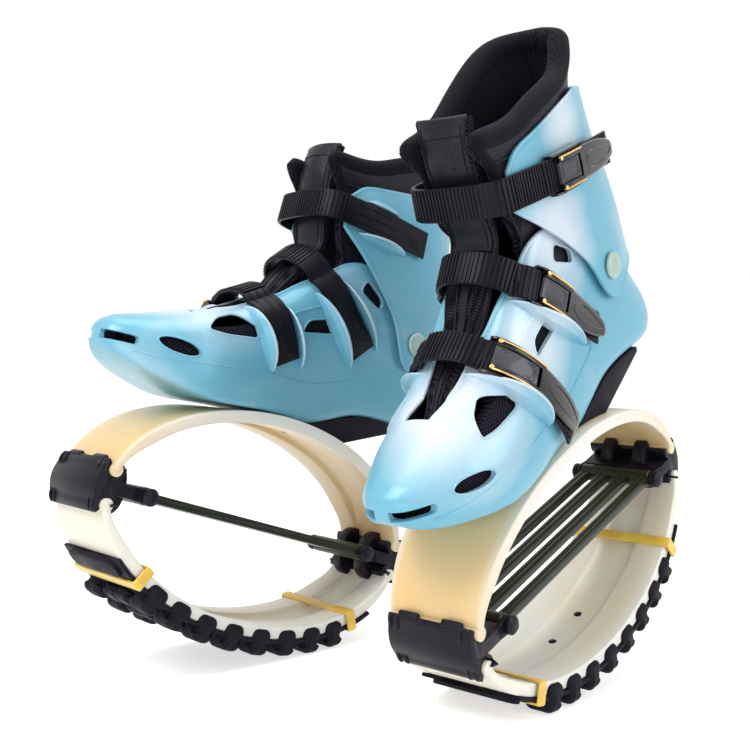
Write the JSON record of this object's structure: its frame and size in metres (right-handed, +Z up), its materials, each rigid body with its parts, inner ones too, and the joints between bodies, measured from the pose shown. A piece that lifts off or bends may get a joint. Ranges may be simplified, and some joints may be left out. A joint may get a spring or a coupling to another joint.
{
  "type": "rebound boots",
  "caption": "Pair of sprung jumping boots: buckled hard shells with inner boots on oval bows with tension springs, clasping joints and lugged treads, in mid stride.",
  "frame": {"origin": "middle of the bounding box's base, on the floor that both treads stand on", "axes": "+Z up, +X the way the pair strides, +Y to the wearer's left"},
  "size_m": [0.444, 0.3528, 0.5122],
  "materials": {
    "pearl_blue": "pearlescent",
    "black_textile": "padded textile",
    "black_strap": "satin",
    "grey_tab": "gloss",
    "gloss_black": "gloss",
    "pearl_rivet": "pearlescent",
    "cream_bow": "satin",
    "amber_band": "satin",
    "black_joint": "satin",
    "dark_spring": "satin",
    "black_rubber": "matte"
  },
  "bodies": {
    "ground": {"left_front_band": "amber_band", "left_ground_bow": "cream_bow", "left_rear_band": "amber_band", "left_tread": "black_rubber", "right_front_band": "amber_band", "right_ground_bow": "cream_bow", "right_rear_band": "amber_band", "right_tread": "black_rubber"},
    "left_tension": {"left_front_joint": "black_joint", "left_front_pin": "black_joint", "left_rear_joint": "black_joint", "left_rear_pin": "black_joint", "left_tension_spring": "dark_spring"},
    "left_boot": {"left_boot_bow": "cream_bow", "left_heel_spacer": "black_rubber", "left_inner_ankle_rivet": "pearl_rivet", "left_instep_buckle_base": "gloss_black", "left_instep_strap": "black_strap", "left_liner": "black_textile", "left_outer_ankle_rivet": "pearl_rivet", "left_shell": "pearl_blue", "left_toe_buckle_base": "gloss_black", "left_toe_strap": "black_strap", "left_tongue": "black_textile"},
    "left_cuff": {"left_cuff": "pearl_blue", "left_cuff_buckle_base": "gloss_black", "left_cuff_strap": "black_strap"},
    "left_toe_lever": {"left_toe_lever": "gloss_black"},
    "left_toe_tab": {"left_toe_release_tab": "grey_tab"},
    "left_instep_lever": {"left_instep_lever": "gloss_black"},
    "left_instep_tab": {"left_instep_release_tab": "grey_tab"},
    "left_cuff_lever": {"left_cuff_lever": "gloss_black"},
    "left_cuff_tab": {"left_cuff_release_tab": "grey_tab"},
    "right_tension": {"right_front_joint": "black_joint", "right_front_pin": "black_joint", "right_rear_joint": "black_joint", "right_rear_pin": "black_joint", "right_tension_spring": "dark_spring"},
    "right_boot": {"right_boot_bow": "cream_bow", "right_heel_spacer": "black_rubber", "right_inner_ankle_rivet": "pearl_rivet", "right_instep_buckle_base": "gloss_black", "right_instep_strap": "black_strap", "right_liner": "black_textile", "right_outer_ankle_rivet": "pearl_rivet", "right_shell": "pearl_blue", "right_toe_buckle_base": "gloss_black", "right_toe_strap": "black_strap", "right_tongue": "black_textile"},
    "right_cuff": {"right_cuff": "pearl_blue", "right_cuff_buckle_base": "gloss_black", "right_cuff_strap": "black_strap"},
    "right_toe_lever": {"right_toe_lever": "gloss_black"},
    "right_toe_tab": {"right_toe_release_tab": "grey_tab"},
    "right_instep_lever": {"right_instep_lever": "gloss_black"},
    "right_instep_tab": {"right_instep_release_tab": "grey_tab"},
    "right_cuff_lever": {"right_cuff_lever": "gloss_black"},
    "right_cuff_tab": {"right_cuff_release_tab": "grey_tab"}
  },
  "joints": [
    {"name": "left_rebound", "type": "slide", "parent": "ground", "child": "left_boot", "axis": [0.3577, 0.0225, 0.9336], "range_m": [-0.04, 0], "stiffness_N_per_m": 15000, "springref_m": 0.006, "deforming": ["left_boot_bow", "left_ground_bow"]},
    {"name": "left_bow_ends", "type": "slide", "parent": "ground", "child": "left_tension", "axis": [0.3577, 0.0225, 0.9336], "range_m": [-0.02, 0]},
    {"name": "left_ankle_flex", "type": "hinge", "parent": "left_boot", "child": "left_cuff", "pos_m": [-0.0889, 0.11174, 0.33242], "axis": [-0.0628, 0.998, 0], "range_deg": [0, 6], "stiffness_Nm_per_rad": 12, "springref_deg": -8.59, "deforming": ["left_liner", "left_tongue"]},
    {"name": "left_toe_buckle", "type": "hinge", "parent": "left_boot", "child": "left_toe_lever", "pos_m": [0.05928, 0.15025, 0.26025], "axis": [0.5523, 0.0976, -0.8279], "range_deg": [0, 70]},
    {"name": "left_toe_release", "type": "hinge", "parent": "left_toe_lever", "child": "left_toe_tab", "pos_m": [0.05928, 0.15025, 0.26025], "axis": [0.5523, 0.0976, -0.8279], "range_deg": [0, 12], "stiffness_Nm_per_rad": 0.01, "springref_deg": -11.46},
    {"name": "left_instep_buckle", "type": "hinge", "parent": "left_boot", "child": "left_instep_lever", "pos_m": [0.01141, 0.15549, 0.30923], "axis": [0.3439, 0.0593, -0.9371], "range_deg": [0, 70]},
    {"name": "left_instep_release", "type": "hinge", "parent": "left_instep_lever", "child": "left_instep_tab", "pos_m": [0.01141, 0.15549, 0.30923], "axis": [0.3439, 0.0593, -0.9371], "range_deg": [0, 12], "stiffness_Nm_per_rad": 0.01, "springref_deg": -11.46},
    {"name": "left_cuff_buckle", "type": "hinge", "parent": "left_cuff", "child": "left_cuff_lever", "pos_m": [0.00046, 0.15995, 0.39145], "axis": [-0.3628, 0.0143, -0.9318], "range_deg": [0, 70]},
    {"name": "left_cuff_release", "type": "hinge", "parent": "left_cuff_lever", "child": "left_cuff_tab", "pos_m": [0.00046, 0.15995, 0.39145], "axis": [-0.3628, 0.0143, -0.9318], "range_deg": [0, 12], "stiffness_Nm_per_rad": 0.01, "springref_deg": -11.46},
    {"name": "right_rebound", "type": "slide", "parent": "ground", "child": "right_boot", "axis": [-0.2918, 0.0184, 0.9563], "range_m": [-0.04, 0], "stiffness_N_per_m": 15000, "springref_m": 0.006, "deforming": ["right_boot_bow", "right_ground_bow"]},
    {"name": "right_bow_ends", "type": "slide", "parent": "ground", "child": "right_tension", "axis": [-0.2918, 0.0184, 0.9563], "range_m": [-0.02, 0]},
    {"name": "right_ankle_flex", "type": "hinge", "parent": "right_boot", "child": "right_cuff", "pos_m": [-0.09321, -0.10895, 0.26678], "axis": [0.0628, 0.998, 0], "range_deg": [0, 6], "stiffness_Nm_per_rad": 12, "springref_deg": -8.59, "deforming": ["right_liner", "right_tongue"]},
    {"name": "right_toe_buckle", "type": "hinge", "parent": "right_boot", "child": "right_toe_lever", "pos_m": [0.06751, -0.14825, 0.30245], "axis": [-0.9431, 0.1222, 0.3093], "range_deg": [0, 70]},
    {"name": "right_toe_release", "type": "hinge", "parent": "right_toe_lever", "child": "right_toe_tab", "pos_m": [0.06751, -0.14825, 0.30245], "axis": [-0.9431, 0.1222, 0.3093], "range_deg": [0, 12], "stiffness_Nm_per_rad": 0.01, "springref_deg": -11.46},
    {"name": "right_instep_buckle", "type": "hinge", "parent": "right_boot", "child": "right_instep_lever", "pos_m": [-0.00042, -0.15222, 0.31184], "axis": [-0.8463, 0.0909, 0.5249], "range_deg": [0, 70]},
    {"name": "right_instep_release", "type": "hinge", "parent": "right_instep_lever", "child": "right_instep_tab", "pos_m": [-0.00042, -0.15222, 0.31184], "axis": [-0.8463, 0.0909, 0.5249], "range_deg": [0, 12], "stiffness_Nm_per_rad": 0.01, "springref_deg": -11.46},
    {"name": "right_cuff_buckle", "type": "hinge", "parent": "right_cuff", "child": "right_cuff_lever", "pos_m": [-0.05964, -0.15365, 0.37007], "axis": [-0.2862, 0.0551, 0.9566], "range_deg": [0, 70]},
    {"name": "right_cuff_release", "type": "hinge", "parent": "right_cuff_lever", "child": "right_cuff_tab", "pos_m": [-0.05964, -0.15365, 0.37007], "axis": [-0.2862, 0.0551, 0.9566], "range_deg": [0, 12], "stiffness_Nm_per_rad": 0.01, "springref_deg": -11.46}
  ],
  "couplings": [
    {"joint": "left_bow_ends", "follows": "left_rebound", "ratio": 0.5},
    {"joint": "right_bow_ends", "follows": "right_rebound", "ratio": 0.5}
  ]
}
